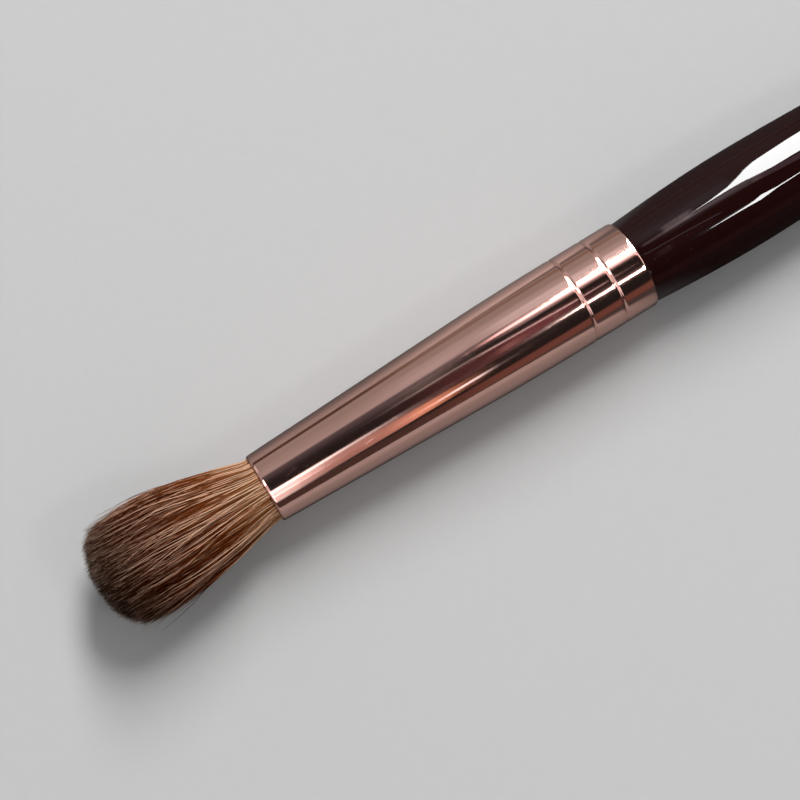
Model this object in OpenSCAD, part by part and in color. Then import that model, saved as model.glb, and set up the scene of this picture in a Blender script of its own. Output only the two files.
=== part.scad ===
// Eyeshadow brush: a round tuft of natural hair, glued into a tapered metal ferrule
// that is glued and crimped onto a turned, lacquered wooden handle.
// It lies level along X, hair towards -X and handle towards +X, with the box's bottom centre at the origin.

/* [Hair] */
// Length of the hair that stands out of the ferrule
hair_out_l = 18.7; // [15:0.1:23]
// Diameter of the tuft where it is fullest
tuft_d = 12; // [10:0.1:14]
// Distance from the ferrule's mouth to the fullest place
tuft_full_at = 13.8; // [10:0.1:14.5]
// How square the rounded tip is: 2 is an ellipse
tip_squareness = 3.2; // [2:0.1:4]
// How late the hair flares out: 1 is at once
flare_power = 1.15; // [0.9:0.05:1.4]
// How much a strand's length varies, either way
hair_unevenness = 0.25; // [0:0.05:0.5]
// Number of strands
strand_count = 350; // [300:10:400]

/* [Hair root] */
// How far the glued root's face lies inside the mouth
root_inset = 0.3; // [0.2:0.05:0.6]
// Thickness of the slice of root that the strands stand in
root_slice_l = 2; // [1:0.1:3]
// Length of the glue plug behind that slice
plug_l = 8.5; // [8:0.1:10]
// Clearance of the glued root in the ferrule's bore
root_gap = 0.03; // [0.02:0.01:0.06]

/* [Binding thread] */
// Diameter of the thread tied round the hair roots
thread_d = 0.28; // [0.2:0.02:0.32]
// Number of turns
thread_turns = 5; // [3:1:6]
// Distance from one turn to the next
thread_pitch = 0.74; // [0.74:0.02:0.9]
// Distance from the plug's front face to the first turn
thread_start = 2; // [1.5:0.1:2.2]
// Clearance of the thread in its groove
thread_gap = 0.02; // [0.01:0.01:0.04]

/* [Ferrule] */
// Outside diameter at the mouth
mouth_d = 7.35; // [6.6:0.05:8]
// Outside diameter of the straight collar
collar_d = 9.45; // [8.6:0.05:10.4]
// Length of the whole ferrule
ferrule_l = 43.25; // [40:0.25:50]
// Length of the straight cone behind the mouth
cone_l = 23; // [18:0.5:28]
// Length of the straight collar at the handle's end
collar_l = 8; // [8:0.1:11]
// Thickness of the tube's wall
ferrule_wall = 0.35; // [0.25:0.01:0.45]
// Radius of the rounded edge at the handle's end
rim_round = 0.14; // [0.08:0.01:0.2]

/* [Crimps] */
// Distance from the handle's end to the first crimp
crimp_from_end = 3.6; // [2.5:0.1:3.7]
// Distance between the crimps
crimp_pitch = 3.6; // [2.5:0.1:3.7]
// Width of a crimp
crimp_w = 0.44; // [0.36:0.02:0.7]
// Depth of a crimp
crimp_depth = 0.1; // [0.06:0.01:0.16]

/* [Handle] */
// Length of the handle outside the ferrule
handle_l = 105; // [90:1:120]
// How far the shoulder lies below the ferrule's collar
shoulder_drop = 0.24; // [0.06:0.02:0.28]
// Radius of the shoulder's edge
shoulder_round = 0.06; // [0.04:0.01:0.1]
// Greatest diameter
belly_d = 10.2; // [9.6:0.1:11]
// Distance from the shoulder to the greatest diameter
belly_at = 13.5; // [12:0.5:24]
// How soon the handle thins behind its greatest diameter: 1 is evenly
taper_power = 0.8; // [0.7:0.05:1.2]
// Diameter of the straight tail
tail_d = 5.6; // [4.6:0.1:7]
// Length of the straight tail
tail_l = 12; // [8:0.5:18]
// Length of the domed end
dome_l = 2.6; // [1.5:0.1:4]
// Length of the tenon inside the ferrule
tenon_l = 12; // [10:0.5:14]
// Chamfer on the tenon's end
tenon_chamfer = 0.5; // [0.3:0.1:0.8]

/* [Tenon glue] */
// Gap between tenon and ferrule that the glue fills
glue_gap = 0.12; // [0.08:0.01:0.2]
// Clearance on each face of the glue film
film_gap = 0.01; // [0.005:0.005:0.02]
// How far the glue stops short of the rim
glue_short = 0.4; // [0.2:0.1:1]

/* [Hidden] */

overall_l = hair_out_l + ferrule_l + handle_l;
tuft_r = tuft_d / 2;
mouth_x = hair_out_l - overall_l / 2;

mouth_r = mouth_d / 2;
collar_r = collar_d / 2;
collar_from = ferrule_l - collar_l;
cone_slope = 2 * (collar_r - mouth_r) / (cone_l + collar_from);
crimp_places = [ferrule_l - crimp_from_end - crimp_pitch, ferrule_l - crimp_from_end];

shoulder_r = collar_r - shoulder_drop;
belly_r = belly_d / 2;
tail_r = tail_d / 2;
handle_end = ferrule_l + handle_l;
dome_from = handle_end - dome_l;
tail_from = dome_from - tail_l;
belly_u = ferrule_l + belly_at;
tenon_from = ferrule_l - tenon_l;

slice_to = root_inset + root_slice_l;
plug_to = slice_to + plug_l;
thread_from = slice_to + thread_start;
thread_run = thread_turns * thread_pitch;
groove_depth = thread_d + 2 * thread_gap;

// The strands: how much of the room between neighbours one fills, and where it bends on its way to the fullest place
strand_fill_share = 0.74;
strand_bend_shares = [0.4, 0.72];
strand_sides = 3;
strand_points = strand_sides * (1 + len(strand_bend_shares)) + 1;
sunflower_turn = 137.508;
shade_seed = 7;

// How finely the curved stretches are drawn
round_faces = 96;
blend_steps = 10;
crimp_steps = 8;
edge_steps = 6;
handle_steps = 20;
turn_rings = 24;
thread_sides = 6;

// Places along the axis are measured from the ferrule's mouth, towards the handle.
module on_axis() {
    translate([mouth_x, 0, axis_z]) rotate([0, 90, 0]) children();
}

// Outside of the ferrule without its crimps: a cone, a parabola tangent to both sides, and a straight collar
function drawn_r(u) =
    u <= cone_l ? mouth_r + cone_slope * u :
    u < collar_from ? collar_r - cone_slope * (collar_from - u) ^ 2 / (2 * (collar_from - cone_l)) :
    collar_r;

function crimp_at(u, place) =
    abs(u - place) < crimp_w / 2 ? crimp_depth * (1 + cos(360 * (u - place) / crimp_w)) / 2 : 0;

function outer_r(u) = drawn_r(u) - crimp_at(u, crimp_places[0]) - crimp_at(u, crimp_places[1]);
function bore_r(u) = outer_r(u) - ferrule_wall;
function tenon_r(u) = bore_r(u) - glue_gap;

// Stations that follow the bore between two places
bore_stations = concat(
    [0, cone_l],
    [for (i = [1 : blend_steps]) cone_l + (collar_from - cone_l) * i / blend_steps],
    [for (place = crimp_places, i = [0 : crimp_steps]) place + crimp_w * (i / crimp_steps - 0.5)],
    [ferrule_l]
);
function stations(from, to) = concat([from], [for (u = bore_stations) if (u > from && u < to) u], [to]);

function arc(centre, r, from, to, steps) =
    [for (i = [0 : steps]) let (a = from + (to - from) * i / steps) centre + r * [cos(a), sin(a)]];
function reversed(list) = [for (i = [len(list) - 1 : -1 : 0]) list[i]];

// Outside of the handle from its shoulder to where the dome starts
function swell_r(u) = shoulder_r + (belly_r - shoulder_r) * sin(90 * (u - ferrule_l) / belly_at);
function taper_r(u) =
    let (share = (u - belly_u) / (tail_from - belly_u))
    tail_r + (belly_r - tail_r) * (1 + cos(180 * share ^ taper_power)) / 2;

// Outside of the tuft, at a distance out from the mouth, and drawn in along a straight line behind it
bundle_r = bore_r(root_inset) - root_gap;
first_bend = tuft_full_at * strand_bend_shares[0];
function flare_r(out) =
    bundle_r + (tuft_r - bundle_r) * sin(90 * (min(out, tuft_full_at) / tuft_full_at) ^ flare_power);
function root_r(out) = bundle_r + (flare_r(first_bend) - bundle_r) * out / first_bend;
function hair_r(out) = out < 0 ? root_r(out) : flare_r(out);
function tip_out(share) =
    tuft_full_at + (hair_out_l - tuft_full_at) * (1 - share ^ tip_squareness) ^ (1 / tip_squareness);

// One strand: its share of the tuft's radius, its direction round the axis and how much longer it is than its neighbours
unevenness = rands(-hair_unevenness, 0, strand_count, shade_seed);
function strand_share(i) = sqrt((i + 0.5) / strand_count);
function strand_w(out) = strand_fill_share * hair_r(out) / sqrt(strand_count);
function strand_place(i, out) =
    let (r = strand_share(i) * (hair_r(out) - strand_w(out)), a = sunflower_turn * i)
    [r * cos(a), r * sin(a), -out];
function strand_ring(i, out) =
    [for (k = [0 : strand_sides - 1])
        let (a = sunflower_turn * i + 360 * k / strand_sides)
        strand_place(i, out) + strand_w(out) * [cos(a), sin(a), 0]];
strand_outs = concat([-root_inset], tuft_full_at * strand_bend_shares);
function strand_tip(i) =
    let (out = tip_out(strand_share(i)) + (i == 0 ? 0 : unevenness[i]), a = sunflower_turn * i)
    [strand_share(i) * tuft_r * cos(a), strand_share(i) * tuft_r * sin(a), -out];

// The axis lies as high as the lowest strand reaches down
axis_z = max([for (i = [0 : strand_count - 1]) strand_tip(i)[0]]);

// Faces of a tube of rings that starts at a point number, closed by a flat end or brought to a point
function ring_sides(first, rings, sides) =
    [for (j = [0 : rings - 2], k = [0 : sides - 1])
        let (a = first + sides * j + k, b = first + sides * j + (k + 1) % sides)
        each [[a, b, a + sides], [b, b + sides, a + sides]]];
function flat_end(first, sides) = [for (k = [1 : sides - 2]) [first, first + k + 1, first + k]];
function far_end(first, sides) = [for (k = [1 : sides - 2]) [first, first + k, first + k + 1]];
function pointed_end(first, sides, tip) =
    [for (k = [0 : sides - 1]) [first + k, first + (k + 1) % sides, tip]];

module strands() {
    points = [for (i = [0 : strand_count - 1])
        each concat([for (out = strand_outs) each strand_ring(i, out)], [strand_tip(i)])];
    faces = [for (i = [0 : strand_count - 1])
        let (first = i * strand_points, rings = len(strand_outs))
        each concat(
            flat_end(first, strand_sides),
            ring_sides(first, rings, strand_sides),
            pointed_end(first + strand_sides * (rings - 1), strand_sides, first + strand_points - 1)
        )];
    polyhedron(points = points, faces = faces, convexity = 10);
}

// The hair and the front slice of its glued root
module hair_tuft() {
    color([0.45, 0.26, 0.17]) on_axis() union() {
        rotate_extrude($fn = round_faces) polygon([
            [0, root_inset],
            [bore_r(root_inset) - root_gap, root_inset],
            [bore_r(slice_to) - root_gap, slice_to],
            [0, slice_to]
        ]);
        strands();
    }
}

// Hardened glue round the hair roots, with a groove where the thread draws them in
module root_plug() {
    groove_from = thread_from - thread_d;
    groove_to = thread_from + thread_run + thread_d;
    color([0.68, 0.5, 0.27]) on_axis() rotate_extrude($fn = round_faces) polygon([
        [0, slice_to],
        [bore_r(slice_to) - root_gap, slice_to],
        [bore_r(groove_from) - root_gap, groove_from],
        [bore_r(groove_from) - root_gap - groove_depth, groove_from],
        [bore_r(groove_from) - root_gap - groove_depth, groove_to],
        [bore_r(groove_to) - root_gap, groove_to],
        [bore_r(plug_to) - root_gap, plug_to],
        [0, plug_to]
    ]);
}

// One unbroken thread, wound round the roots in its groove
thread_path_r = bore_r(thread_from - thread_d) - root_gap - groove_depth + thread_gap + thread_d / 2;
function thread_point(turn) =
    [thread_path_r * cos(360 * turn), thread_path_r * sin(360 * turn), thread_from + thread_pitch * turn];
function thread_ring(turn) =
    [for (k = [0 : thread_sides - 1])
        let (a = -360 * k / thread_sides, out = [cos(360 * turn), sin(360 * turn), 0])
        thread_point(turn) + thread_d / 2 * (cos(a) * out + sin(a) * [0, 0, 1])];
thread_turn_places = [for (i = [0 : thread_turns * turn_rings]) i / turn_rings];
thread_least_gap = min([for (i = [0 : (thread_turns - 1) * turn_rings])
    norm(thread_point(thread_turn_places[i + turn_rings]) - thread_point(thread_turn_places[i]))]) - thread_d;
echo(str("binding thread: least gap to itself ", thread_least_gap, " mm"));

module binding_thread() {
    rings = len(thread_turn_places);
    color([0.9, 0.87, 0.78]) on_axis() polyhedron(
        points = [for (turn = thread_turn_places) each thread_ring(turn)],
        faces = concat(
            flat_end(0, thread_sides),
            ring_sides(0, rings, thread_sides),
            far_end((rings - 1) * thread_sides, thread_sides)
        ),
        convexity = 10
    );
}

// Drawn tube: a half-round lip at the mouth, a cone, a collar and two rolled crimps that bite into the tenon
module ferrule() {
    lip_r = ferrule_wall / 2;
    outside = stations(lip_r, ferrule_l - rim_round);
    inside = stations(lip_r, ferrule_l);
    color([0.8, 0.57, 0.52]) on_axis() rotate_extrude($fn = round_faces) polygon(concat(
        arc([mouth_r - lip_r, lip_r], lip_r, 180, 360, edge_steps),
        [for (u = outside) if (u > lip_r) [outer_r(u), u]],
        arc([collar_r - rim_round, ferrule_l - rim_round], rim_round, 0, 90, edge_steps),
        [for (u = reversed(inside)) if (u > lip_r) [bore_r(u), u]]
    ));
}

// Turned wood: tenon, shoulder, belly, long taper, straight tail and domed end
module handle() {
    tenon = stations(tenon_from + tenon_chamfer, ferrule_l);
    color([0.17, 0.07, 0.075]) on_axis() rotate_extrude($fn = round_faces) polygon(concat(
        [[0, tenon_from], [tenon_r(tenon_from) - tenon_chamfer, tenon_from]],
        [for (u = tenon) [tenon_r(u), u]],
        arc([shoulder_r - shoulder_round, ferrule_l + shoulder_round], shoulder_round, 270, 360, edge_steps),
        [for (i = [1 : handle_steps])
            let (u = ferrule_l + shoulder_round + (belly_at - shoulder_round) * i / handle_steps) [swell_r(u), u]],
        [for (i = [1 : handle_steps])
            let (u = belly_u + (tail_from - belly_u) * i / handle_steps) [taper_r(u), u]],
        [for (i = [0 : handle_steps])
            let (a = 90 * i / handle_steps) [tail_r * cos(a), dome_from + dome_l * sin(a)]]
    ));
}

// Film of glue between tenon and ferrule
module tenon_glue() {
    film = stations(tenon_from + tenon_chamfer, ferrule_l - glue_short);
    color([0.86, 0.8, 0.62]) on_axis() rotate_extrude($fn = round_faces) polygon(concat(
        [for (u = film) [bore_r(u) - film_gap, u]],
        [for (u = reversed(film)) [tenon_r(u) + film_gap, u]]
    ));
}

hair_tuft();
root_plug();
binding_thread();
ferrule();
handle();
tenon_glue();
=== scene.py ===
import math

import bpy
from mathutils import Matrix, Vector


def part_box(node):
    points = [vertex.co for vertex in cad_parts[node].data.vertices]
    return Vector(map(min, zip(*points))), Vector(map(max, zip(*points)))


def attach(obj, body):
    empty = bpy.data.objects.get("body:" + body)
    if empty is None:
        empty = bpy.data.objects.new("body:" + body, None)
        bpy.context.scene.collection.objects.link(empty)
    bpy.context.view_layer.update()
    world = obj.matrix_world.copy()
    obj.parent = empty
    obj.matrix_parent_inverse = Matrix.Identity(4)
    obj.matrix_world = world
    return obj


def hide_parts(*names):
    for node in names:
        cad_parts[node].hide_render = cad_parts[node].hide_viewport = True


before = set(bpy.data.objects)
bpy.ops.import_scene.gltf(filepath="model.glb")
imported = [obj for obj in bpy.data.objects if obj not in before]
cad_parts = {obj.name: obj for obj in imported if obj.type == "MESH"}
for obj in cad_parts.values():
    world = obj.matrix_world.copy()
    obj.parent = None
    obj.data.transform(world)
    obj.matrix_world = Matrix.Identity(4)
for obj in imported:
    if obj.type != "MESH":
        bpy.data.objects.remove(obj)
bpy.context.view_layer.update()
print("frame loaded:", ", ".join(sorted(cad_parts)))

mm = 0.001

# Places that every piece is built on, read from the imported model
tuftLow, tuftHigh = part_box("hair_tuft")
ferruleLow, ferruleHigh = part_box("ferrule")
handleLow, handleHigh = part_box("handle")
place = {
    "mouth": ferruleLow.x,
    "shoulder": ferruleHigh.x,
    "tail": handleHigh.x,
    "axisHeight": (ferruleLow.z + ferruleHigh.z) / 2,
    "tuftRadius": (tuftHigh.z - tuftLow.z) / 2,
}


class Value:
    # one socket of a node tree, with arithmetic that adds Math nodes
    def __init__(self, graph, socket):
        self.graph = graph
        self.socket = socket

    def math(self, operation, *others):
        return self.graph.math(operation, self, *others)

    def __add__(self, other):
        return self.graph.math("ADD", self, other)

    def __radd__(self, other):
        return self.graph.math("ADD", other, self)

    def __sub__(self, other):
        return self.graph.math("SUBTRACT", self, other)

    def __rsub__(self, other):
        return self.graph.math("SUBTRACT", other, self)

    def __mul__(self, other):
        return self.graph.math("MULTIPLY", self, other)

    def __rmul__(self, other):
        return self.graph.math("MULTIPLY", other, self)

    def __truediv__(self, other):
        return self.graph.math("DIVIDE", self, other)

    def __rtruediv__(self, other):
        return self.graph.math("DIVIDE", other, self)

    def __pow__(self, other):
        return self.graph.math("POWER", self, other)

    def __rpow__(self, other):
        return self.graph.math("POWER", other, self)


class Graph:
    # a material's, a world's or a modifier's node tree while it is being written
    def __init__(self, tree):
        self.tree = tree

    def put(self, socket, value):
        if isinstance(value, Value):
            self.tree.links.new(value.socket, socket)
        else:
            socket.default_value = value

    def made(self, kind, settings=None, sockets=None):
        node = self.tree.nodes.new(kind)
        for name, value in (settings or {}).items():
            if name == "stops":
                self.stops(node.color_ramp, value)
            else:
                setattr(node, name, value)
        for name, value in (sockets or {}).items():
            self.put(self.find(node.inputs, name), value)
        return node

    def node(self, kind, settings=None, sockets=None, out=None):
        outputs = self.made(kind, settings, sockets).outputs
        if out is None:
            out = next(s.name for s in outputs if s.enabled)
        return Value(self, self.find(outputs, out))

    def math(self, operation, *values):
        return self.node("ShaderNodeMath", {"operation": operation}, dict(enumerate(values)))

    def vectorMath(self, operation, sockets):
        return self.node("ShaderNodeVectorMath", {"operation": operation}, sockets)

    def find(self, sockets, name):
        if isinstance(name, int):
            return sockets[name]
        return next(s for s in sockets if s.name == name and s.enabled)

    def stops(self, ramp, stops):
        while len(ramp.elements) < len(stops):
            ramp.elements.new(1)
        for element, (position, colour) in zip(ramp.elements, stops):
            element.position = position
            element.color = (*colour, 1)

    def ramp(self, value, stops):
        return self.node("ShaderNodeValToRGB", {"stops": stops}, {"Fac": value})

    def mix(self, factor, a, b):
        return self.node("ShaderNodeMix", {"data_type": "RGBA"}, {"Factor": factor, "A": a, "B": b})

    def ease(self, value, start, end, low=0.0, high=1.0):
        settings = {"interpolation_type": "SMOOTHSTEP"}
        sockets = {"Value": value, "From Min": start, "From Max": end, "To Min": low, "To Max": high}
        return self.node("ShaderNodeMapRange", settings, sockets)

    def band(self, value, low, high, soft):
        # 1 between low and high, falling to 0 over soft on either side
        return self.ease(value, low - soft, low) * self.ease(value, high, high + soft, 1.0, 0.0)

    def noise(self, vector, scale, detail, roughness=0.5):
        sockets = {"Vector": vector, "Scale": scale, "Detail": detail, "Roughness": roughness}
        return self.node("ShaderNodeTexNoise", None, sockets)

    def bump(self, height, strength, distance):
        sockets = {"Strength": strength, "Distance": distance, "Height": height}
        return self.node("ShaderNodeBump", None, sockets)

    def combine(self, x, y, z):
        return self.node("ShaderNodeCombineXYZ", None, {"X": x, "Y": y, "Z": z})

    def split(self, vector):
        separate = self.made("ShaderNodeSeparateXYZ", None, {"Vector": vector})
        return [Value(self, socket) for socket in separate.outputs]


def grey(level):
    return (level, level, level, 1)


def newMaterial(name):
    material = bpy.data.materials.new(name)
    material.use_nodes = True
    material.node_tree.nodes.clear()
    graph = Graph(material.node_tree)
    return material, graph


def finishMaterial(graph, sockets):
    shader = graph.node("ShaderNodeBsdfPrincipled", None, sockets)
    graph.made("ShaderNodeOutputMaterial", None, {"Surface": shader})


def objectPlace(graph):
    return graph.node("ShaderNodeTexCoord", out="Object")


def roundTheAxis(graph):
    # along the brush in millimetres, angle round the axis in radians, as values
    x, y, z = graph.split(objectPlace(graph))
    angle = y.math("ARCTAN2", z - place["axisHeight"])
    return x / mm, angle


def drawnNoise(graph, along, angle, pattern):
    # a noise drawn out along a turned piece; the pattern is its change per millimetre and per radian,
    # where it starts, its scale, its detail and its roughness
    perLength, perTurn, start, scale, detail, roughness = pattern
    stretched = graph.combine(along * perLength, angle * perTurn, start)
    return graph.noise(stretched, scale, detail, roughness)


def newObject(name, data):
    made = bpy.data.objects.new(name, data)
    bpy.context.scene.collection.objects.link(made)
    return made


def addPiece(name, mesh, material, nodes, body="root"):
    piece = newObject(name, mesh)
    if not mesh.materials:
        mesh.materials.append(material)
    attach(piece, body)
    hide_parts(*nodes)


# Camera

camera = {
    "lens": 90,
    "sensor": 36,
    "heading": -32,  # degrees round the object, 0 looks along +Y
    "elevation": 78,
    "mouthAt": (264.45, 489.0),  # pixel of the ferrule mouth's centre in the 800 pixel frame
    "mouthDepth": 196.6 * mm,
    "frameSize": 800,
    "clipStart": 1 * mm,
}


def placeCamera():
    heading = math.radians(camera["heading"])
    elevation = math.radians(camera["elevation"])
    right = Vector((math.cos(heading), math.sin(heading), 0))
    back = Vector(
        (
            math.sin(heading) * math.cos(elevation),
            -math.cos(heading) * math.cos(elevation),
            math.sin(elevation),
        )
    )
    up = back.cross(right)
    focal = camera["lens"] / camera["sensor"] * camera["frameSize"]
    half = camera["frameSize"] / 2
    across = (camera["mouthAt"][0] - half) / focal * camera["mouthDepth"]
    above = (half - camera["mouthAt"][1]) / focal * camera["mouthDepth"]
    mouth = Vector((place["mouth"], 0, place["axisHeight"]))
    location = mouth - across * right - above * up + camera["mouthDepth"] * back

    data = bpy.data.cameras.new("camera")
    data.lens = camera["lens"]
    data.sensor_width = camera["sensor"]
    data.clip_start = camera["clipStart"]
    seen = newObject("camera", data)
    turn = Matrix((right, up, back)).transposed()
    seen.matrix_world = Matrix.Translation(location) @ turn.to_4x4()
    bpy.context.scene.camera = seen


placeCamera()
bpy.context.scene.view_settings.view_transform = "Standard"
print("camera placed")


# Floor: the brush lies on its tuft's fullest part and its handle's belly, so the floor tilts a little

floor = {
    "size": 3.0,
    "colour": (0.5, 0.5, 0.5),
    "roughness": 0.9,
    "specular": 0.1,
    "speck": (900, 3),  # scale and detail
    "speckPaler": 1.04,
    "evenedOut": (0.25, 1.3, 1.75),  # paler from the first to the second distance, as light fades there
    "underWindow": (0.45, 0.7),  # the window lights the floor most here
    "darkened": (0.15, 0.85, 0.55),  # so it is darker there, less from the first to the second distance
    "tuftContact": 13.8 * mm,  # in front of the mouth
    "bellyContact": 13.5 * mm,  # behind the shoulder
    "clearance": 0.05 * mm,
    "mirroredSpan": (130, 70),  # millimetres that the stops reach on the -Y and on the +Y side
    # how bright polished metal and lacquer show the floor, from the -Y end to the +Y end; the low stops
    # near the middle are a painted shadow of the brush
    "mirroredWithShadow": (
        (0.0, 0.38),
        (0.45, 0.35),
        (0.515, 0.28),
        (0.575, 0.23),
        (0.612, 0.25),
        (0.63, 0.08),
        (0.672, 0.06),
        (0.69, 0.13),
        (0.74, 0.24),
        (0.83, 0.36),
    ),
    "mirroredFar": (0.7, 1.3),  # times this on the +Y side, near the mouth and at the shoulder
    "farFrom": 12 * mm,  # behind the mouth
    "farSoft": 10 * mm,
    # painted shade: the floor that metal and lacquer show is darkened beside the handle
    "handleShadeLeft": (0.11, 0.22),  # what is left beside the handle, on the -Y and on the +Y side
    "behindSoft": 9 * mm,  # how far behind the shoulder that takes to set in
    "sideSoft": 5 * mm,  # either side of the axis
}


def floorMaterial():
    material, graph = newMaterial("paleFloor")
    x, y, _ = graph.split(objectPlace(graph))
    speck = graph.noise(objectPlace(graph), *floor["speck"])
    paler = [level * floor["speckPaler"] for level in floor["colour"]]
    shade = graph.mix(speck, (*floor["colour"], 1), (*paler, 1))
    nearest, farthest, palest = floor["evenedOut"]
    even = graph.ease((x * x + y * y) ** 0.5, nearest, farthest, 1.0, palest)
    fromX, fromY = x - floor["underWindow"][0], y - floor["underWindow"][1]
    near, end, darker = floor["darkened"]
    even = even * graph.ease((fromX * fromX + fromY * fromY) ** 0.5, near, end, darker, 1.0)
    shade = graph.vectorMath("SCALE", {"Vector": shade, "Scale": even})

    # what polished metal and lacquer show in its place, with a painted shadow of the brush near the axis
    # and painted shade beside the handle
    before, beyond = floor["mirroredSpan"]
    stops = [(at, (level, level, level)) for at, level in floor["mirroredWithShadow"]]
    mirroredWithShadow = graph.ramp((y / mm + before) / (before + beyond), stops)
    # painted shade beside the handle, setting in behind the shoulder
    handleShadeLevel = graph.ease(y, -floor["sideSoft"], floor["sideSoft"], *floor["handleShadeLeft"])
    behindEnd = place["shoulder"] + floor["behindSoft"]
    handleShade = 1 + (handleShadeLevel - 1) * graph.ease(x, place["shoulder"], behindEnd)
    far = graph.ease(x, place["mouth"] + floor["farFrom"], place["shoulder"], *floor["mirroredFar"])
    far = 1 + (far - 1) * graph.ease(y, 0.0, floor["farSoft"])
    mirroredWithShadow = graph.vectorMath("SCALE", {"Vector": mirroredWithShadow, "Scale": handleShade * far})
    isGlossy = graph.node("ShaderNodeLightPath", out="Is Glossy Ray")
    sockets = {
        "Base Color": graph.mix(isGlossy, shade, mirroredWithShadow),
        "Roughness": floor["roughness"],
        "Specular IOR Level": floor["specular"],
    }
    finishMaterial(graph, sockets)
    return material


def makeFloor():
    bellyRadius = (handleHigh.z - handleLow.z) / 2
    tuftX = place["mouth"] - floor["tuftContact"]
    bellyX = place["shoulder"] + floor["bellyContact"]
    tuftZ = place["axisHeight"] - place["tuftRadius"] - floor["clearance"]
    bellyZ = place["axisHeight"] - bellyRadius - floor["clearance"]
    slope = (bellyZ - tuftZ) / (bellyX - tuftX)
    half = floor["size"] / 2
    corners = ((-half, -half), (half, -half), (half, half), (-half, half))
    mesh = bpy.data.meshes.new("floor")
    mesh.from_pydata([(x, y, tuftZ + slope * (x - tuftX)) for x, y in corners], [], [(0, 1, 2, 3)])
    mesh.materials.append(floorMaterial())
    plane = newObject("floor", mesh)


makeFloor()


# Light: a tall bright window on one side, an even pale room, and the panels that polished metal mirrors

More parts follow.
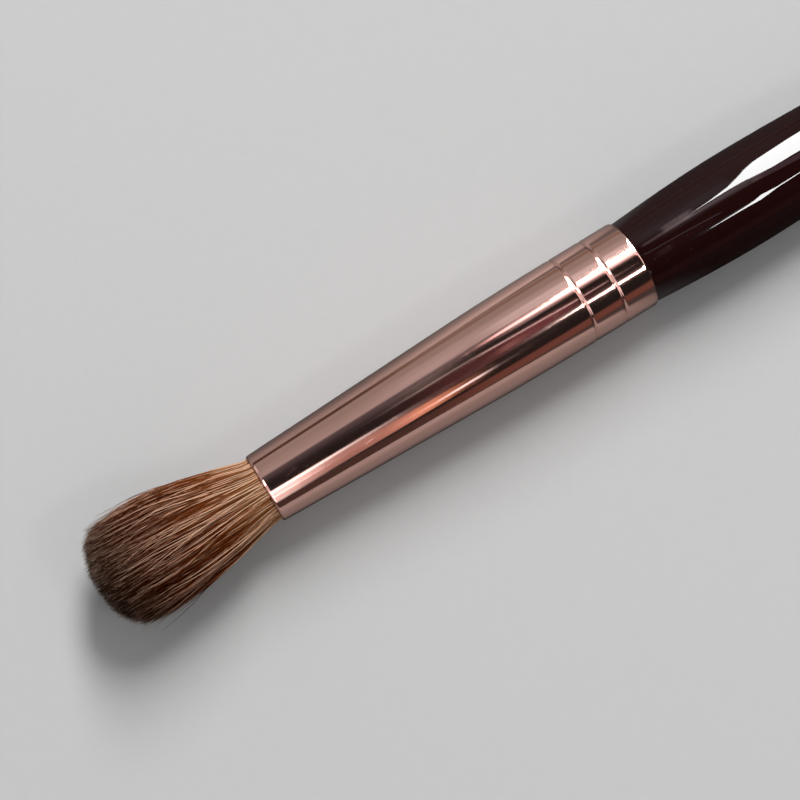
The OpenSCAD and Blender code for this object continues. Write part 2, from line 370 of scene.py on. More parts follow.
light = {
    "fill": 0.36,  # what the room gives to matt surfaces
    "backdrop": 0.7,
    "cardStrength": 20,
    "cardMirrored": 40,  # as metal and lacquer show it
    "cardDistance": 1.2,
    "cardFrom": 12 * mm,  # behind the shoulder: the place that the corners are seen from
    # corners: share of the direction that runs along the brush, and degrees from straight up towards +Y
    "window": (
        (0.173, 19.4),
        (0.215, 21.5),
        (0.26, 26.4),
        (0.3, 38),
        (0.33, 47.5),
        (0.38, 53),
        (0.5, 56),
        (0.5, 12),
        (0.35, 12.5),
        (0.3, 18.5),
        (0.26, 20),
        (0.21, 20),
    ),
    "glint": (
        (0.19, -33.8),
        (0.235, -33.2),
        (0.275, -32.6),
        (0.297, -30.8),
        (0.315, -28.2),
        (0.327, -29.8),
        (0.34, -31.2),
        (0.37, -31),
        (0.42, -30.2),
        (0.42, -31.6),
        (0.37, -32.6),
        (0.34, -33.6),
        (0.325, -36),
        (0.31, -37.6),
        (0.293, -37),
        (0.27, -35.8),
        (0.235, -35),
        (0.19, -34.4),
    ),
    "room": 0.015,  # what metal and lacquer show between the panels
    # low and high edge in degrees from straight up towards +Y, how much both turn along the brush, and
    # their softness; the shares of the direction along the brush where the panel starts and ends, and
    # their softness; its colour
    "panels": (
        (27, 92, 0, 7, -0.9, 0.34, 0.06, (0.31, 0.31, 0.3)),
        (27, 92, 0, 7, 0.4, 0.9, 0.06, (0.25, 0.24, 0.24)),
        (26, 28, 0, 32, -0.9, 0.06, 0.03, (0.085, 0.085, 0.1)),
        (79, 85, 0, 4.5, -0.9, 0.04, 0.045, (-0.155, -0.15, -0.135)),
        (79, 85, 0, 4.5, -0.9, 0.4, 0.03, (-0.09, -0.125, -0.145)),
        (24, 52, 0, 10, 0.058, 0.26, 0.02, (0.1, 0.11, 0.13)),
        (27, 40, 0, 6, 0.14, 0.25, 0.04, (0.2, 0.24, 0.27)),
        (11, 16, 0, 10, 0.16, 0.3, 0.05, (0.6, 0.55, 0.58)),
        (13, 17.8, 0, 1.8, 0.12, 0.32, 0.02, (1.7, 1.3, 1.35)),
        (19.5, 24, -46, 1.6, 0.17, 0.32, 0.015, (0.9, 0.75, 0.8)),
        (50, 60, -140, 2, 0.32, 0.42, 0.01, (1.2, 0.85, 0.95)),
        (-5, 15, 0, 3, 0.05, 0.06, 0.008, (0.16, 0.17, 0.17)),
        (-34, -9, 0, 4, 0.06, 0.2, 0.02, (0.06, 0.02, 0.024)),
        (-26, -14, 0, 3, 0.13, 0.2, 0.02, (0.075, 0.025, 0.035)),
        (0.9, 2.1, -75, 0.8, 0.105, 0.215, 0.015, (1.2, 1.15, 1.25)),
        (-0.6, 1.4, -50, 1.2, 0.045, 0.1, 0.01, (0.3, 0.3, 0.3)),
        (-28, -18, 0, 2, 0.121, 0.13, 0.006, (0.3, 0.22, 0.2)),
        (-33.5, -27.5, 0, 1.2, -0.6, -0.012, 0.01, (2.0, 2.2, 2.3)),
        (-33, -28, 0, 1.2, -0.01, 0.022, 0.01, (0.7, 0.75, 0.8)),
        (-48, -33, 0, 3, -0.5, -0.024, 0.01, (1.7, 1.65, 1.75)),
        (-66, -48, 0, 3, -0.5, -0.026, 0.01, (1.15, 1.15, 1.2)),
        (-62, -36, 0, 3, -0.022, 0.045, 0.01, (0.36, 0.22, 0.19)),
        (-60, -42, 0, 4, 0.045, 0.062, 0.008, (0.95, 0.5, 0.29)),
        (-53.4, -50, 0, 2, 0.068, 0.086, 0.008, (1.9, 2.2, 2.4)),
        (-86, -73, 0, 7, -0.5, 0.5, 0.1, (0.05, 0.03, 0.025)),
        (-86, -73, 0, 6, 0.09, 0.5, 0.03, (0.09, 0.034, 0.025)),
        (-36, -31, 0, 2.2, 0.2, 0.27, 0.05, (0.35, 0.45, 0.5)),
        (-35.5, -31.5, 0, 1.6, 0.24, 0.27, 0.03, (1.6, 1.6, 1.6)),
        (-25, 12, 0, 6, 0.5, 0.9, 0.05, (1.8, 1.8, 1.8)),
        (0, 15, 0, 3, -0.85, -0.25, 0.06, (4.4, 4.4, 4.4)),
        (-64, -6, 0, 8, -0.98, -0.16, 0.08, (0.75, 0.68, 0.75)),
        (52, 70, 0, 9, -0.6, -0.13, 0.05, (0.45, 0.45, 0.45)),
        (48, 70, 0, 9, 0.5, 0.95, 0.06, (0.9, 0.9, 0.9)),
    ),
}


def directionOf(along, degrees):
    across = math.sqrt(1 - along * along)
    turn = math.radians(degrees)
    return Vector((along, across * math.sin(turn), across * math.cos(turn)))


def cardMaterial():
    material, graph = newMaterial("cardLight")
    isGlossy = graph.node("ShaderNodeLightPath", out="Is Glossy Ray")
    strength = isGlossy * (light["cardMirrored"] - light["cardStrength"]) + light["cardStrength"]
    glow = graph.node("ShaderNodeEmission", None, {"Strength": strength})
    graph.made("ShaderNodeOutputMaterial", None, {"Surface": glow})
    return material


def makeCards():
    centre = Vector((place["shoulder"] + light["cardFrom"], 0, place["axisHeight"]))
    material = cardMaterial()
    for name in ("window", "glint"):
        corners = [centre + light["cardDistance"] * directionOf(*corner) for corner in light[name]]
        mesh = bpy.data.meshes.new(name)
        mesh.from_pydata(corners, [], [tuple(range(len(corners)))])
        mesh.materials.append(material)
        card = newObject(name, mesh)
        card.visible_camera = False


def makeWorld():
    world = bpy.data.worlds.new("room")
    world.use_nodes = True
    world.node_tree.nodes.clear()
    graph = Graph(world.node_tree)
    x, y, z = graph.split(graph.node("ShaderNodeTexCoord", out="Generated"))
    angle = y.math("ARCTAN2", z) * math.degrees(1)
    total = graph.combine(light["room"], light["room"], light["room"])
    for low, high, tilt, soft, start, end, softAlong, colour in light["panels"]:
        level = angle - x * tilt if tilt else angle
        shape = graph.band(level, low, high, soft) * graph.band(x, start, end, softAlong)
        lit = graph.vectorMath("SCALE", {"Vector": colour, "Scale": shape})
        total = graph.vectorMath("ADD", {0: total, 1: lit})
    isGlossy = graph.node("ShaderNodeLightPath", out="Is Glossy Ray")
    isCamera = graph.node("ShaderNodeLightPath", out="Is Camera Ray")
    colour = graph.mix(isGlossy, grey(light["fill"]), total)
    colour = graph.mix(isCamera, colour, grey(light["backdrop"]))
    background = graph.node("ShaderNodeBackground", None, {"Color": colour, "Strength": 1.0})
    graph.made("ShaderNodeOutputWorld", None, {"Surface": background})
    bpy.context.scene.world = world


makeCards()
makeWorld()
print("floor and light made")


# A turned piece: an outline of (along, radius) swept round the brush's axis

def turned(name, outline, sides, closed):
    vertices, faces, rings = [], [], []
    for along, radius in outline:
        ring = []
        count = sides if radius > 0 else 1
        for k in range(count):
            angle = 2 * math.pi * k / sides
            ring.append(len(vertices))
            up = place["axisHeight"] + radius * math.cos(angle)
            vertices.append((along, radius * math.sin(angle), up))
        rings.append(ring)
    pairs = list(zip(rings, rings[1:]))
    if closed:
        pairs.append((rings[-1], rings[0]))
    for a, b in pairs:
        for k in range(sides):
            following = (k + 1) % sides
            if len(a) == 1:
                faces.append((a[0], b[following], b[k]))
            elif len(b) == 1:
                faces.append((a[k], a[following], b[0]))
            else:
                faces.append((a[k], a[following], b[following], b[k]))
    mesh = bpy.data.meshes.new(name)
    mesh.from_pydata(vertices, [], faces)
    mesh.update()
    mesh.shade_smooth()
    return mesh


def spaced(start, end, steps):
    return [start + (end - start) * i / steps for i in range(steps + 1)]


def arc(along, radius, size, start, end, steps):
    # points round a centre; 0 degrees points away from the axis and 90 towards the tail
    turns = [math.radians(degrees) for degrees in spaced(start, end, steps)]
    return [(along + size * math.sin(a), radius + size * math.cos(a)) for a in turns]


# Ferrule

ferrule = {
    "mouthRadius": 3.675 * mm,
    "collarRadius": 4.725 * mm,
    "length": 43.25 * mm,
    "cone": 23 * mm,
    "collar": 8 * mm,
    "wall": 0.35 * mm,
    "lipRound": 0.34 * mm,  # the mouth's lip is rounded this far along the outside
    "rimRound": 0.14 * mm,
    "crimps": (36.05 * mm, 39.65 * mm),
    "crimpWidth": 0.44 * mm,
    "crimpDepth": 0.1 * mm,
    "dipDepth": 0.013 * mm,  # the tube's shallow sag towards a crimp and the back rim
    "dipBefore": 0.45 * mm,
    "dipAfter": 0.3 * mm,
    "dipEdge": 0.05 * mm,  # the tube runs straight again this far outside a sag
    "sides": 192,
    "steps": {
        "cone": 24,
        "widening": 16,
        "dip": 8,
        "crimp": 16,
        "dipAfter": 4,
        "bore": 6,
        "lip": 12,
        "rim": 8,
    },
    "leastStep": 0.01 * mm,
    # noises: change per millimetre and per radian, start, scale, detail, roughness
    "mottle": (0.05, 4.4, 0.0, 1.4, 3, 0.5),
    "drawLines": (0.06, 60, 0.0, 1.0, 2, 0.5),
    "smear": (0.35, 1.5, 3.0, 1.0, 4, 0.6),
    "ripple": (0.9, 0.5, 2.0, 1.0, 3, 0.5),
    "colours": ((0.3, (0.82, 0.475, 0.395)), (0.7, (0.88, 0.525, 0.445))),
    "roughness": 0.06,
    "smearRoughness": 0.06,
    "scratchRoughness": 0.09,
    # change per millimetre and per radian in its two directions, start, scale, detail
    "scratchNoise": ((0.05, 0.4), (-0.9, 18), 7.0, 0.8, 0),
    "scratchLevel": (0.494, 0.506, 0.005),  # where a scratch lies in that noise: low, high, softness
    "scratchWhere": (0.57, 0.64),  # only where the smear is this strong
    "heights": {"mottle": 0.5, "ripple": 0.12, "drawLines": 0.02, "scratch": -0.02},
    "bump": (0.35, 0.02 * mm),  # strength and distance
}


def dip(off, reach):
    return ferrule["dipDepth"] * (1 + math.cos(math.pi * min(off / reach, 1))) / 2


def ferruleRadius(u):
    collarFrom = ferrule["length"] - ferrule["collar"]
    slope = 2 * (ferrule["collarRadius"] - ferrule["mouthRadius"]) / (ferrule["cone"] + collarFrom)
    if u <= ferrule["cone"]:
        radius = ferrule["mouthRadius"] + slope * u
    elif u < collarFrom:
        blend = collarFrom - ferrule["cone"]
        radius = ferrule["collarRadius"] - slope * (collarFrom - u) ** 2 / (2 * blend)
    else:
        radius = ferrule["collarRadius"]
    for crimp in ferrule["crimps"]:
        off = abs(u - crimp)
        if off < ferrule["crimpWidth"] / 2:
            turn = 2 * math.pi * off / ferrule["crimpWidth"]
            radius -= ferrule["crimpDepth"] * (1 + math.cos(turn)) / 2
        radius -= dip(off, ferrule["dipBefore"] if u < crimp else ferrule["dipAfter"])
    return radius - dip(ferrule["length"] - u, ferrule["dipBefore"])


def ferruleStations():
    length, before, after = ferrule["length"], ferrule["dipBefore"], ferrule["dipAfter"]
    half, edge, steps = ferrule["crimpWidth"] / 2, ferrule["dipEdge"], ferrule["steps"]
    stations = spaced(ferrule["lipRound"], ferrule["cone"], steps["cone"])
    stations += spaced(ferrule["cone"], length - ferrule["collar"], steps["widening"])[1:]
    for crimp in ferrule["crimps"]:
        stations += [crimp - before - edge]
        stations += spaced(crimp - before, crimp - half, steps["dip"])
        stations += spaced(crimp - half, crimp + half, steps["crimp"])[1:]
        stations += spaced(crimp + half, crimp + after, steps["dipAfter"])[1:]
        stations += [crimp + after + edge]
    stations += [length - before - edge]
    stations += spaced(length - before, length - ferrule["rimRound"], steps["dip"])
    least = ferrule["leastStep"]
    return [u for i, u in enumerate(stations) if i == 0 or u - stations[i - 1] > least]


def ferruleOutline():
    mouth, length, wall = place["mouth"], ferrule["length"], ferrule["wall"]
    lipRound, rimRound, steps = ferrule["lipRound"], ferrule["rimRound"], ferrule["steps"]
    stations = ferruleStations()
    outside = [(mouth + u, ferruleRadius(u)) for u in stations[1:-1]]
    inside = [(mouth + u, ferruleRadius(u) - wall) for u in reversed(stations[1:-1])]

    lip = wall / 2
    lipRadius = ferrule["mouthRadius"] - lip
    lipArc = arc(mouth + lip, lipRadius, lip, -180, -90, steps["bore"])
    rise = ferruleRadius(lipRound) - ferrule["mouthRadius"] + lip
    for turn in spaced(math.pi / 2, 0, steps["lip"])[1:]:
        lipArc.append((mouth + lipRound * (1 - math.sin(turn)), lipRadius + rise * math.cos(turn)))
    rimRadius = ferruleRadius(length)
    rimArc = arc(mouth + (length - rimRound), rimRadius - rimRound, rimRound, 0, 90, steps["rim"])
    bore = [(mouth + length, rimRadius - wall)]
    return lipArc + outside + rimArc + bore + inside


def ferruleMaterial():
    material, graph = newMaterial("polishedRoseGold")
    along, angle = roundTheAxis(graph)
    mottle = drawnNoise(graph, along, angle, ferrule["mottle"])
    drawLines = drawnNoise(graph, along, angle, ferrule["drawLines"])
    smear = drawnNoise(graph, along, angle, ferrule["smear"])
    ripple = drawnNoise(graph, along, angle, ferrule["ripple"])
    # hairline scratches: thin level lines of a noise that is drawn out aslant
    (alongX, roundX), (alongY, roundY), start, scale, detail = ferrule["scratchNoise"]
    slant = graph.combine(along * alongX + angle * roundX, along * alongY + angle * roundY, start)
    scratch = graph.band(graph.noise(slant, scale, detail), *ferrule["scratchLevel"])
    scratch = scratch * graph.ease(smear, *ferrule["scratchWhere"])
    roughness = ferrule["roughness"] + smear * ferrule["smearRoughness"]
    roughness = roughness + scratch * ferrule["scratchRoughness"]
    heights = ferrule["heights"]
    height = mottle * heights["mottle"] + ripple * heights["ripple"]
    height = height + drawLines * heights["drawLines"] + scratch * heights["scratch"]
    sockets = {
        "Base Color": graph.ramp(mottle, ferrule["colours"]),
        "Metallic": 1.0,
        "Roughness": roughness,
        "Normal": graph.bump(height, *ferrule["bump"]),
    }
    finishMaterial(graph, sockets)
    return material


def makeFerrule():
    mesh = turned("ferruleTube", ferruleOutline(), ferrule["sides"], True)
    addPiece("ferrule_tube", mesh, ferruleMaterial(), ["ferrule"])
    print("ferrule:", len(mesh.polygons), "faces")


makeFerrule()


# Handle

handle = {
    "tenonLength": 12 * mm,
    "tenonChamfer": 0.5 * mm,
    "tenonGap": 0.12 * mm,  # glue between the tenon and the ferrule
    "shoulderRadius": 4.485 * mm,
    "shoulderRound": 0.06 * mm,
    "bellyRadius": 5.1 * mm,
    "bellyAt": 13.5 * mm,
    "taperPower": 0.8,
    "tailRadius": 2.8 * mm,
    "tail": 12 * mm,
    "dome": 2.6 * mm,
    "sides": 160,
    "steps": {"tenon": 96, "shoulder": 8, "swell": 28, "taper": 48, "dome": 24},
    # noises: change per millimetre and per radian, start, scale, detail, roughness
    "grain": (0.06, 9, 0.0, 1.2, 4, 0.6),
    "cloud": (0.12, 1.2, 5.0, 1.0, 3, 0.5),
    "colours": ((0.0096, 0.002, 0.0019, 1), (0.0165, 0.0038, 0.0037, 1)),
    "roughness": 0.4,
    "coatRoughness": 0.03,
    "coatIor": 1.36,
    "dustScale": 900,
    "dustSize": (0.05, 0.09),
    "dustShare": 0.06,
    "dustColour": (0.3, 0.26, 0.25, 1),
    "smudge": ((4.0, 6.0), (0.07, 0.135)),  # millimetres behind the shoulder, radians round the axis
    "smudgeSoft": (1.2, 0.07),
    "smudgeNoise": (1300, 1),  # scale and detail
    "smudgeShare": (0.2, 0.35),  # everywhere, and times the noise
    "smudgeColour": (0.16, 0.12, 0.12, 1),
    "heights": {"cloud": 0.4, "dust": 0.04},
    "bump": (0.3, 0.02 * mm),  # strength and distance
}


def tenonRadius(u):
    return ferruleRadius(u) - ferrule["wall"] - handle["tenonGap"]


def handleOutline():
    mouth, shoulder, steps = place["mouth"], place["shoulder"], handle["steps"]
    domeFrom = place["tail"] - handle["dome"]
    tailFrom = domeFrom - handle["tail"]
    belly = shoulder + handle["bellyAt"]
    tenonFrom = ferrule["length"] - handle["tenonLength"]
    rise = handle["bellyRadius"] - handle["shoulderRadius"]
    fall = handle["bellyRadius"] - handle["tailRadius"]

    chamfered = tenonRadius(tenonFrom) - handle["tenonChamfer"]
    points = [(mouth + tenonFrom, 0), (mouth + tenonFrom, chamfered)]
    for u in spaced(tenonFrom + handle["tenonChamfer"], ferrule["length"], steps["tenon"]):
        points.append((mouth + u, tenonRadius(u)))
    size = handle["shoulderRound"]
    points += arc(shoulder + size, handle["shoulderRadius"] - size, size, -90, 0, steps["shoulder"])
    for x in spaced(shoulder + size, belly, steps["swell"])[1:]:
        swell = math.sin(math.pi / 2 * (x - shoulder) / handle["bellyAt"])
        points.append((x, handle["shoulderRadius"] + rise * swell))
    for x in spaced(belly, tailFrom, steps["taper"])[1:]:
        share = (x - belly) / (tailFrom - belly)
        thinned = (1 + math.cos(math.pi * share ** handle["taperPower"])) / 2
        points.append((x, handle["tailRadius"] + fall * thinned))
    for i in range(steps["dome"]):
        turn = math.pi / 2 * i / steps["dome"]
        x = domeFrom + handle["dome"] * math.sin(turn)
        points.append((x, handle["tailRadius"] * math.cos(turn)))
    return points + [(domeFrom + handle["dome"], 0)]


def handleMaterial():
    material, graph = newMaterial("burgundyLacquer")
    along, angle = roundTheAxis(graph)
    grain = drawnNoise(graph, along, angle, handle["grain"])
    cloud = drawnNoise(graph, along, angle, handle["cloud"])
    sockets = {"Vector": objectPlace(graph), "Scale": handle["dustScale"]}
    dust = graph.node("ShaderNodeTexVoronoi", None, sockets)
    fleck = graph.ease(dust, *handle["dustSize"], 1.0, 0.0)
    colour = graph.mix(grain, *handle["colours"])
    colour = graph.mix(fleck * handle["dustShare"], colour, handle["dustColour"])
    # where a finger has touched the lacquer
    (smudgeFrom, smudgeTo), (smudgeLow, smudgeHigh) = handle["smudge"]
    softAlong, softRound = handle["smudgeSoft"]
    handleShade = along - place["shoulder"] / mm
    smudge = graph.band(handleShade, smudgeFrom, smudgeTo, softAlong)
    smudge = smudge * graph.band(angle, smudgeLow, smudgeHigh, softRound)
    everywhere, noisy = handle["smudgeShare"]
    speckle = graph.noise(objectPlace(graph), *handle["smudgeNoise"])
    colour = graph.mix(smudge * (everywhere + speckle * noisy), colour, handle["smudgeColour"])
    height = cloud * handle["heights"]["cloud"] + fleck * handle["heights"]["dust"]
    sockets = {
        "Base Color": colour,
        "Roughness": handle["roughness"],
        "Specular IOR Level": 0.0,
        "Coat Weight": 1.0,
        "Coat Roughness": handle["coatRoughness"],
        "Coat IOR": handle["coatIor"],
        "Normal": graph.bump(height, *handle["bump"]),
    }
    finishMaterial(graph, sockets)
    return material


def makeHandle():
    mesh = turned("handleWood", handleOutline(), handle["sides"], False)
    addPiece("handle_wood", mesh, handleMaterial(), ["handle"])
    print("handle:", len(mesh.polygons), "faces")


makeHandle()


# Hair: every strand is a thin three-sided tube, grown by one node tree

hair = {
    "length": 18.98 * mm,
    "bundleRadius": 3.22 * mm,
    "swellAt": 12.2 * mm,  # the tuft has its full width here
    "fullAt": 14.1 * mm,  # and its outermost strands end here
    "fullRadius": 5.46 * mm,
    "flarePower": 1.15,
    "tipSquareness": 2.6,
    "lowest": 0.04 * mm,  # above the level that the tuft rests on
    "rootDepth": 1.2 * mm,  # how far the strands start inside the ferrule
    "points": 9,  # along a strand
    "sides": 3,
    "strandRadius": 0.039 * mm,
    "taper": (1.15, 0.95, 4),  # times this at the root, less this at the tip, by this power
    "thickness": (0.8, 0.25, 0.5),  # of the thinnest strand; the thickest and the pale ones add this
    "bigClumps": 5.0,  # clumps across the bundle's radius
    "smallClumps": 15.0,
    "clumpShifts": (3.0, 9.0),  # what part of their pattern the big and the small clumps take
    "clumping": 0.3,
    "bigPull": 0.16,  # the big clumps' share of it
    "pullPower": 1.3,
    "unevenness": 0.6 * mm,
    # how a strand's big clump, small clump and own chance make it longer: the mean, and the weight
    "longer": ((0.6, 0.3), (0.6, 0.5), (0.9, 0.8)),
    "strayReach": 0.3,
    "wave": 0.9 * mm,  # of a strand on its own
    "waveNoise": (311, 57, 91, 2.4),  # change per share, turn, chance and step
    "bend": 1.1 * mm,  # of a small clump together
    "bendNoise": (2.5, 40, 1.7),  # change per place, tone and step
    "wavePower": 0.7,
    "swayPower": 1.6,
    "sway": (0.45, 6, 1.6),  # of every strand, and the power and the size of the few wild ones
    "swayAlong": 0.3,
    "lean": 0.22 * mm,  # towards +Y at the tip
    # painted highlight: the tone rises and falls along a strand in short pale stretches that stand for
    # the hair's sheen
    "sheenStreak": 0.8,  # how much the tone changes along one strand
    "sheenStreakNoise": (173, 31, 67, 5.0),  # change per share, turn, chance and step
    "clumpTones": (0.43, 0.57),  # the big and the small clump's share of a strand's tone
    "ownTone": (0.44, 0.2),  # the strand's own share at the root, and how much more at the tip
    "paleEdge": (0.98, 1.02),  # a strand turns pale where its chance and its layer's share add up to this
    "paleTone": 0.85,
    # name, strands, share of the radius from and to, seed, how far tips stray, share of pale hairs, and
    # how far a strand may drift round the tuft in radians
    "layers": (
        ("hair_outer", 3900, 0.88, 1.0, 11, 0.4 * mm, 0.08, 0.2),
        ("hair_under", 3900, 0.72, 0.92, 12, 0.3 * mm, 0.08, 0.2),
        ("hair_inner", 3900, 0.0, 0.76, 13, 0.22 * mm, 0.08, 0.2),
        ("hair_pale", 160, 0.98, 1.02, 15, 0.5 * mm, 1.0, 0.4),
        ("hair_stray", 300, 0.9, 1.0, 14, 0.8 * mm, 0.25, 0.3),
    ),
    # colours of the darkest, the middle and the palest strands at these shares of the length; the palest
    # are partly real light hairs and partly painted highlight, as the hair has no gloss of its own
    "colourAt": (0.0, 0.3, 0.65, 1.0),
    "dark": (
        (0.2, 0.052, 0.012),
        (0.095, 0.013, 0.002),
        (0.039, 0.0045, 0.0006),
        (0.008, 0.0045, 0.0018),
    ),
    "middle": (
        (0.32, 0.137, 0.05),
        (0.205, 0.055, 0.014),
        (0.084, 0.016, 0.003),
        (0.026, 0.0135, 0.0065),
    ),
    "pale": (
        (0.7, 0.44, 0.285),
        (0.62, 0.36, 0.24),
        (0.55, 0.315, 0.215),
        (0.43, 0.295, 0.22),
    ),
    "middleFrom": (0.1, 0.55),  # tones
    "paleFrom": (0.62, 1.0),
    "shadedFrom": (0.003, 0.03),  # share of the length where the mouth's shade ends
    "shade": 0.6,
    "shadeColour": (0.05, 0.016, 0.006, 1),
    "roughness": 0.42,
    # place in the baked picture: tone across, each side of a strand a little further, and along upwards
    "bakeTone": (0.96, 0.01),
    "bakeSide": 0.004,
    "bakeAlong": (0.9, 0.05),
}

hairInputs = (
    ("Strands", "NodeSocketInt"),
    ("Inner Share", "NodeSocketFloat"),
    ("Outer Share", "NodeSocketFloat"),
    ("Seed", "NodeSocketInt"),
    ("Stray", "NodeSocketFloat"),
    ("Length", "NodeSocketFloat"),
    ("Root Depth", "NodeSocketFloat"),
    ("Bundle Radius", "NodeSocketFloat"),
    ("Full At", "NodeSocketFloat"),
    ("Swell At", "NodeSocketFloat"),
    ("Full Radius", "NodeSocketFloat"),
    ("Flare Power", "NodeSocketFloat"),
    ("Tip Squareness", "NodeSocketFloat"),
    ("Strand Radius", "NodeSocketFloat"),
    ("Points", "NodeSocketInt"),
    ("Big Clumps", "NodeSocketFloat"),
    ("Small Clumps", "NodeSocketFloat"),
    ("Clumping", "NodeSocketFloat"),
    ("Unevenness", "NodeSocketFloat"),
    ("Wave", "NodeSocketFloat"),
    ("Bend", "NodeSocketFloat"),
    ("Drift", "NodeSocketFloat"),
    ("Sheen Streak", "NodeSocketFloat"),
    ("Pale Share", "NodeSocketFloat"),
    ("Lean", "NodeSocketFloat"),
    ("Mouth", "NodeSocketVector"),
    ("Material", "NodeSocketMaterial"),
)


def hairTree():
    tree = bpy.data.node_groups.new("brushHair", "GeometryNodeTree")
    for name, kind in hairInputs:
        tree.interface.new_socket(name, in_out="INPUT", socket_type=kind)
    tree.interface.new_socket("Geometry", in_out="OUTPUT", socket_type="NodeSocketGeometry")
    graph = Graph(tree)
    entry = tree.nodes.new("NodeGroupInput")
    given = {name: Value(graph, entry.outputs[name]) for name, _ in hairInputs}

    def random(low, high, shift):
        sockets = {"Min": low, "Max": high, "Seed": given["Seed"] + shift}
        return graph.node("FunctionNodeRandomValue", {"data_type": "FLOAT"}, sockets)

    def store(geometry, name, value):
        settings = {"data_type": "FLOAT", "domain": "POINT"}
        sockets = {"Geometry": geometry, "Name": name, "Value": value}
        return graph.node("GeometryNodeStoreNamedAttribute", settings, sockets)

    def read(name):
        return graph.node("GeometryNodeInputNamedAttribute", {"data_type": "FLOAT"}, {"Name": name})

    def cells(x, y, scale, shift):
        # clumps: the cell of a pattern over the bundle's round section that this strand stands in
        settings = {"voronoi_dimensions": "2D"}
        sockets = {"Vector": graph.combine(x + shift, y, 0.0), "Scale": scale}
        made = graph.made("ShaderNodeTexVoronoi", settings, sockets)
        centre = graph.split(Value(graph, made.outputs["Position"]))
        chance = graph.split(Value(graph, made.outputs["Color"]))
        return centre[0] - shift, centre[1], chance[0], chance[1]

    def waves(vector, size):
        # three lengths between minus and plus half the size, none at the root
        sockets = {"Vector": vector, "Scale": 1.0, "Detail": 0.0}
        sides = graph.split(graph.node("ShaderNodeTexNoise", None, sockets, "Color"))
        return [(side - 0.5) * size * (step ** hair["wavePower"]) for side in sides]

    # where each strand stands in the round bundle
    strands = graph.node("GeometryNodePoints", None, {"Count": given["Strands"]})
    inner = given["Inner Share"] ** 2
    outer = given["Outer Share"] ** 2
    share = (inner + (outer - inner) * random(0.0, 1.0, 0)) ** 0.5
    strands = store(strands, "share", share)
    strands = store(strands, "turn", random(-math.pi, math.pi, 1))
    strands = store(strands, "chance", random(0.0, 1.0, 2))
    strands = store(strands, "swayX", random(-1.0, 1.0, 3))
    strands = store(strands, "swayY", random(-1.0, 1.0, 4))
    strands = store(strands, "swayZ", random(-1.0, 1.0, 5))
    strands = store(strands, "thickness", random(0.0, 1.0, 6))
    strands = store(strands, "drift", random(-1.0, 1.0, 7))

    line = graph.node("GeometryNodeCurvePrimitiveLine", None, {"End": (1, 0, 0)})
    sockets = {"Curve": line, "Count": given["Points"]}
    line = graph.node("GeometryNodeResampleCurve", {"mode": "COUNT"}, sockets)
    curves = graph.node("GeometryNodeInstanceOnPoints", None, {"Points": strands, "Instance": line})
    curves = graph.node("GeometryNodeRealizeInstances", None, {"Geometry": curves})

    # how a strand runs: out of the mouth, flaring to the fullest place, drawn to its clump at the tip
    step = graph.node("GeometryNodeSplineParameter", out="Factor")
    share, turn, chance = read("share"), read("turn"), read("chance")
    flatX = share * turn.math("COSINE")
    flatY = share * turn.math("SINE")
    drift = turn + read("drift") * given["Drift"] * step
    driftX = share * drift.math("COSINE")
    driftY = share * drift.math("SINE")
    bigShift, smallShift = hair["clumpShifts"]
    bigX, bigY, bigTone, bigLength = cells(flatX, flatY, given["Big Clumps"], bigShift)
    smallX, smallY, smallTone, smallLength = cells(flatX, flatY, given["Small Clumps"], smallShift)
    pull = (step ** hair["pullPower"]) * given["Clumping"]
    sideX = driftX + (bigX - flatX) * pull * hair["bigPull"] + (smallX - flatX) * pull
    sideY = driftY + (bigY - flatY) * pull * hair["bigPull"] + (smallY - flatY) * pull

    squareness = given["Tip Squareness"]
    domeShare = (1 - share.math("MINIMUM", 1.0) ** squareness) ** (1 / squareness)
    reach = given["Full At"] + (given["Length"] - given["Full At"]) * domeShare
    (bigMean, bigWeight), (smallMean, smallWeight), (ownMean, ownWeight) = hair["longer"]
    longer = (bigLength - bigMean) * bigWeight + (smallLength - smallMean) * smallWeight
    longer = longer + (chance - ownMean) * ownWeight
    reach = reach + longer * given["Unevenness"] + given["Stray"] * hair["strayReach"]
    out = step * (reach + given["Root Depth"]) - given["Root Depth"]
    flared = out.math("MAXIMUM", 0.0).math("MINIMUM", given["Swell At"]) / given["Swell At"]
    swell = ((flared ** given["Flare Power"]) * (math.pi / 2)).math("SINE")
    radius = given["Bundle Radius"] + (given["Full Radius"] - given["Bundle Radius"]) * swell

    # every strand wanders a little on its own and a little with its clump, and a few wander far
    byShare, byTurn, byChance, byStep = hair["waveNoise"]
    ownPlace = graph.combine(share * byShare + step * byStep, turn * byTurn, chance * byChance)
    own = waves(ownPlace, given["Wave"])
    byPlace, byTone, byStep = hair["bendNoise"]
    clumpPlace = graph.combine(smallX * byPlace + smallTone * byTone, smallY * byPlace, step * byStep)
    together = waves(clumpPlace, given["Bend"])
    always, rarity, wild = hair["sway"]
    sway = given["Stray"] * (step ** hair["swayPower"]) * (always + (chance ** rarity) * wild)
    y = sideX * radius + read("swayX") * sway + own[0] + together[0] + given["Lean"] * swell
    z = sideY * radius + read("swayY") * sway + own[1] + together[1]
    x = out * -1 + read("swayZ") * sway * hair["swayAlong"]
    position = graph.vectorMath("ADD", {0: graph.combine(x, y, z), 1: given["Mouth"]})
    # the lowest strands lie on the floor; the first two numbers leave the other ways as they are
    position = graph.vectorMath("MAXIMUM", {0: position, 1: (-1.0, -1.0, hair["lowest"])})
    curves = graph.node("GeometryNodeSetPosition", None, {"Geometry": curves, "Position": position})

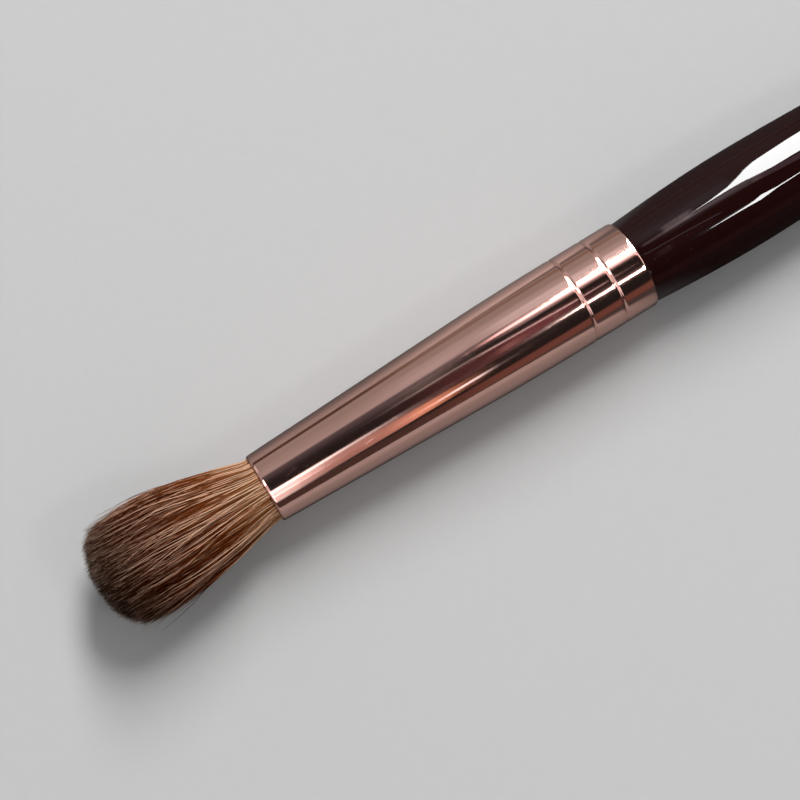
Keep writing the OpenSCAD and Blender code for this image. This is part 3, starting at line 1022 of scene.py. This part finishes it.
    # tone 0 is the darkest hair; some strands are pale whatever their clump is
    pale = graph.ease(read("thickness") + given["Pale Share"], *hair["paleEdge"])
    bigPart, smallPart = hair["clumpTones"]
    clumpTone = bigTone * bigPart + smallTone * smallPart
    ownAtRoot, ownGrowth = hair["ownTone"]
    tone = clumpTone + (chance - clumpTone) * (step * ownGrowth + ownAtRoot)
    # painted highlight: short pale stretches along each strand stand for its sheen
    byShare, byTurn, byChance, byStep = hair["sheenStreakNoise"]
    sheenStreakPlace = graph.combine(share * byShare + step * byStep, turn * byTurn, chance * byChance)
    sheenStreak = graph.noise(sheenStreakPlace, 1.0, 1.0) - 0.5
    tone = tone + (1.0 - tone) * pale * hair["paleTone"] + sheenStreak * given["Sheen Streak"]
    tone = tone.math("MAXIMUM", 0.0).math("MINIMUM", 1.0)
    curves = store(curves, "along", out.math("MAXIMUM", 0.0) / given["Length"])
    curves = store(curves, "tone", tone)

    # each strand gets its sides, thinner towards the tip
    sockets = {"Resolution": hair["sides"], "Radius": 1.0}
    circle = graph.node("GeometryNodeCurvePrimitiveCircle", None, sockets, "Curve")
    circle = store(circle, "side", graph.node("GeometryNodeInputIndex"))
    atRoot, lost, taperPower = hair["taper"]
    thinnest, thicker, paleThicker = hair["thickness"]
    girth = thinnest + read("thickness") * thicker + pale * given["Pale Share"] * paleThicker
    thin = given["Strand Radius"] * (atRoot - (step ** taperPower) * lost) * girth
    sockets = {"Curve": curves, "Profile Curve": circle, "Scale": thin, "Fill Caps": True}
    tubes = graph.node("GeometryNodeCurveToMesh", None, sockets)
    tubes = graph.node("GeometryNodeSetShadeSmooth", None, {"Geometry": tubes})
    toneSpan, toneFrom = hair["bakeTone"]
    alongSpan, alongFrom = hair["bakeAlong"]
    across = read("tone") * toneSpan + read("side") * hair["bakeSide"] + toneFrom
    bakeAt = graph.combine(across, read("along") * alongSpan + alongFrom, 0.0)
    settings = {"data_type": "FLOAT2", "domain": "CORNER"}
    sockets = {"Geometry": tubes, "Name": "OFBake", "Value": bakeAt}
    tubes = graph.node("GeometryNodeStoreNamedAttribute", settings, sockets)
    tubes = graph.node("GeometryNodeRealizeInstances", None, {"Geometry": tubes})
    sockets = {"Geometry": tubes, "Material": given["Material"]}
    tubes = graph.node("GeometryNodeSetMaterial", None, sockets)
    graph.made("NodeGroupOutput", None, {"Geometry": tubes})
    return tree


def hairMaterial():
    material, graph = newMaterial("naturalHair")
    tone = graph.node("ShaderNodeAttribute", {"attribute_name": "tone"}, None, "Fac")
    along = graph.node("ShaderNodeAttribute", {"attribute_name": "along"}, None, "Fac")
    dark = graph.ramp(along, tuple(zip(hair["colourAt"], hair["dark"])))
    middle = graph.ramp(along, tuple(zip(hair["colourAt"], hair["middle"])))
    pale = graph.ramp(along, tuple(zip(hair["colourAt"], hair["pale"])))
    colour = graph.mix(graph.ease(tone, *hair["middleFrom"]), dark, middle)
    # the pale colour is partly real light hair and partly painted sheen
    colour = graph.mix(graph.ease(tone, *hair["paleFrom"]), colour, pale)
    shaded = graph.ease(along, *hair["shadedFrom"], hair["shade"], 0.0)
    colour = graph.mix(shaded, colour, hair["shadeColour"])
    sockets = {"Base Color": colour, "Roughness": hair["roughness"], "Specular IOR Level": 0.0}
    finishMaterial(graph, sockets)
    return material


def growHair(tree, material, name, strands, innerShare, outerShare, seed, stray, paleShare, drift):
    values = {
        "Strands": strands,
        "Inner Share": innerShare,
        "Outer Share": outerShare,
        "Seed": seed,
        "Stray": stray,
        "Length": hair["length"],
        "Root Depth": hair["rootDepth"],
        "Bundle Radius": hair["bundleRadius"],
        "Full At": hair["fullAt"],
        "Swell At": hair["swellAt"],
        "Full Radius": hair["fullRadius"],
        "Flare Power": hair["flarePower"],
        "Tip Squareness": hair["tipSquareness"],
        "Strand Radius": hair["strandRadius"],
        "Points": hair["points"],
        "Big Clumps": hair["bigClumps"],
        "Small Clumps": hair["smallClumps"],
        "Clumping": hair["clumping"],
        "Unevenness": hair["unevenness"],
        "Wave": hair["wave"],
        "Bend": hair["bend"],
        "Drift": drift,
        "Sheen Streak": hair["sheenStreak"],
        "Pale Share": paleShare,
        "Lean": hair["lean"],
        "Mouth": (place["mouth"], 0, place["axisHeight"]),
        "Material": material,
    }
    carrier = newObject("carrier", bpy.data.meshes.new("carrier"))
    modifier = carrier.modifiers.new("hair", "NODES")
    modifier.node_group = tree
    for socket in tree.interface.items_tree:
        if socket.in_out == "INPUT":
            modifier[socket.identifier] = values[socket.name]
    evaluated = carrier.evaluated_get(bpy.context.evaluated_depsgraph_get())
    mesh = bpy.data.meshes.new_from_object(evaluated)
    bpy.data.objects.remove(carrier)
    mesh.name = name
    addPiece(name, mesh, material, ["hair_tuft"])
    print(name + ":", strands, "strands,", len(mesh.polygons), "faces")


def makeHair():
    tree = hairTree()
    material = hairMaterial()
    for layer in hair["layers"]:
        growHair(tree, material, *layer)


makeHair()


# What the ferrule hides: glue round the roots, the thread and the glue on the tenon

hidden = {
    # name, dark and pale colour, scale of the clouds between them, roughness
    "finishes": {
        "root_plug": ("amberGlue", (0.42, 0.22, 0.06), (0.62, 0.36, 0.13), 700, 0.25),
        "binding_thread": ("cottonThread", (0.66, 0.6, 0.5), (0.85, 0.8, 0.72), 4000, 0.85),
        "tenon_glue": ("driedGlue", (0.66, 0.55, 0.33), (0.8, 0.72, 0.52), 900, 0.5),
    },
    "cloudDetail": 3,
    "bump": (0.3, 0.03 * mm),  # strength and distance
}


def dressHidden():
    for node, (name, dark, pale, scale, roughness) in hidden["finishes"].items():
        material, graph = newMaterial(name)
        cloud = graph.noise(objectPlace(graph), scale, hidden["cloudDetail"])
        colour = graph.mix(cloud, (*dark, 1), (*pale, 1))
        bump = graph.bump(cloud, *hidden["bump"])
        finishMaterial(graph, {"Base Color": colour, "Roughness": roughness, "Normal": bump})
        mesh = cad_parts[node].data
        mesh.materials.clear()
        mesh.materials.append(material)


dressHidden()
print("hidden pieces dressed")
